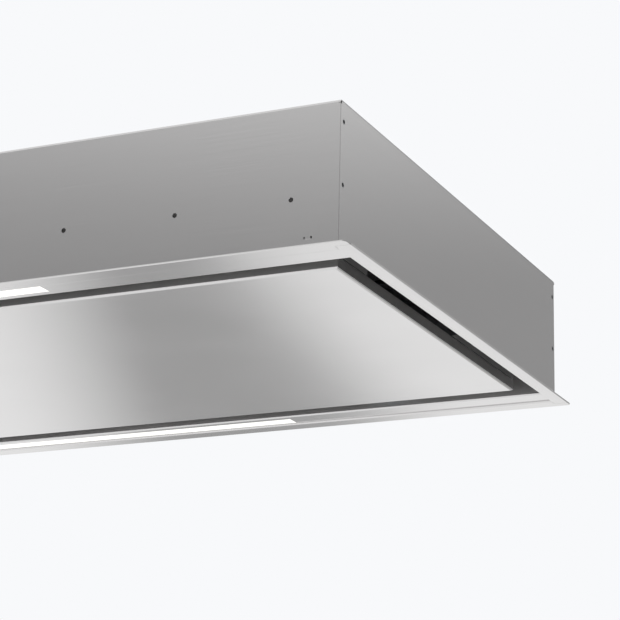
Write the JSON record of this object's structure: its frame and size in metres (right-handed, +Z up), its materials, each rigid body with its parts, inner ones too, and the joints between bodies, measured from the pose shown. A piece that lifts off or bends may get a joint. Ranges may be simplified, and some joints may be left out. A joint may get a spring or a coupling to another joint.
{
  "type": "ceiling range hood",
  "caption": "Slim ceiling-mounted kitchen extractor hood with a hinged perimeter suction panel, light strips, baffle filters and a round duct collar with damper.",
  "frame": {"origin": "middle of the underside of the ceiling flange, the lowest face of the hood", "axes": "+X along the hood towards its right end with the control box, +Y towards the hinged rear side, +Z up to the duct collar"},
  "size_m": [1.203, 0.523, 0.1929],
  "materials": {
    "brushed_stainless": "brushed stainless sheet, grain along the hood",
    "inner_sheet": "plain mill-finished stainless sheet",
    "zinc_sheet": "zinc-coated steel sheet",
    "bright_fasteners": "bright zinc-plated steel",
    "black_plastic": "moulded nylon",
    "opal_diffuser": "satin opal acrylic",
    "white_board": "white solder mask",
    "lead_sheath": "flexible sheath",
    "white_plastic": "moulded plastic",
    "green_board": "green solder mask",
    "black_rubber": "matt rubber",
    "magnet": "dull ferrite in a steel cup",
    "filter_sheet": "satin stainless sheet"
  },
  "bodies": {
    "hood": {"main_shell": "brushed_stainless", "end_plate_left": "brushed_stainless", "end_plate_right": "brushed_stainless", "end_plate_rivets": "bright_fasteners", "hanger_bracket_front_left": "zinc_sheet", "hanger_bracket_front_right": "zinc_sheet", "hanger_bracket_rear_left": "zinc_sheet", "hanger_bracket_rear_right": "zinc_sheet", "bracket_screws": "bright_fasteners", "light_bar_front": "brushed_stainless", "light_bar_rear": "brushed_stainless", "light_bar_end_caps": "black_plastic", "light_bar_screws": "bright_fasteners", "diffuser_front": "opal_diffuser", "diffuser_rear": "opal_diffuser", "led_board_front": "white_board", "led_board_rear": "white_board", "led_lead_front": "lead_sheath", "led_lead_rear": "lead_sheath", "led_connectors": "black_plastic", "lead_clips": "black_plastic", "filter_deck": "inner_sheet", "control_box": "zinc_sheet", "control_box_lid": "zinc_sheet", "lid_screws": "bright_fasteners", "led_driver": "white_plastic", "receiver_board": "green_board", "terminal_block": "white_plastic", "gland_bodies": "black_plastic", "gland_locknuts": "black_plastic", "gland_caps": "black_plastic", "gland_seals": "black_rubber", "duct_collar": "zinc_sheet", "collar_gasket": "black_rubber", "collar_screws": "bright_fasteners", "damper_spindle": "bright_fasteners", "hinge_leaves_fixed": "zinc_sheet", "hinge_pins": "bright_fasteners", "hinge_screws": "bright_fasteners", "catch_housings": "black_plastic", "catch_magnets": "magnet"},
    "panel": {"suction_panel": "brushed_stainless", "panel_stiffeners": "inner_sheet", "hinge_leaves_moving": "zinc_sheet", "strike_plates": "zinc_sheet"},
    "filter_left": {"filter_frame_left": "filter_sheet", "filter_baffles_left": "filter_sheet"},
    "filter_middle": {"filter_frame_middle": "filter_sheet", "filter_baffles_middle": "filter_sheet"},
    "filter_right": {"filter_frame_right": "filter_sheet", "filter_baffles_right": "filter_sheet"},
    "bail_left": {"filter_bail_left": "bright_fasteners"},
    "bail_middle": {"filter_bail_middle": "bright_fasteners"},
    "bail_right": {"filter_bail_right": "bright_fasteners"},
    "flap_left": {"damper_flap_left": "zinc_sheet"},
    "flap_right": {"damper_flap_right": "zinc_sheet"}
  },
  "joints": [
    {"name": "panel_hinge", "type": "hinge", "parent": "hood", "child": "panel", "pos_m": [0, 0.2015, 0.0174], "axis": [1, 0, 0], "range_deg": [0, 90]},
    {"name": "filter_left_lift", "type": "slide", "parent": "hood", "child": "filter_left", "axis": [0, 0, 1], "range_m": [0, 0.03]},
    {"name": "filter_middle_lift", "type": "slide", "parent": "hood", "child": "filter_middle", "axis": [0, 0, 1], "range_m": [0, 0.03]},
    {"name": "filter_right_lift", "type": "slide", "parent": "hood", "child": "filter_right", "axis": [0, 0, 1], "range_m": [0, 0.03]},
    {"name": "bail_left_swing", "type": "hinge", "parent": "filter_left", "child": "bail_left", "pos_m": [-0.292, -0.15, 0.0519], "axis": [1, 0, 0], "range_deg": [0, 80]},
    {"name": "bail_middle_swing", "type": "hinge", "parent": "filter_middle", "child": "bail_middle", "pos_m": [0, -0.15, 0.0519], "axis": [1, 0, 0], "range_deg": [0, 80]},
    {"name": "bail_right_swing", "type": "hinge", "parent": "filter_right", "child": "bail_right", "pos_m": [0.292, -0.15, 0.0519], "axis": [1, 0, 0], "range_deg": [0, 80]},
    {"name": "flap_left_swing", "type": "hinge", "parent": "hood", "child": "flap_left", "pos_m": [0, 0, 0.1299], "axis": [0, 1, 0], "range_deg": [0, 75]},
    {"name": "flap_right_swing", "type": "hinge", "parent": "hood", "child": "flap_right", "pos_m": [0, 0, 0.1299], "axis": [0, -1, 0], "range_deg": [0, 75]}
  ]
}
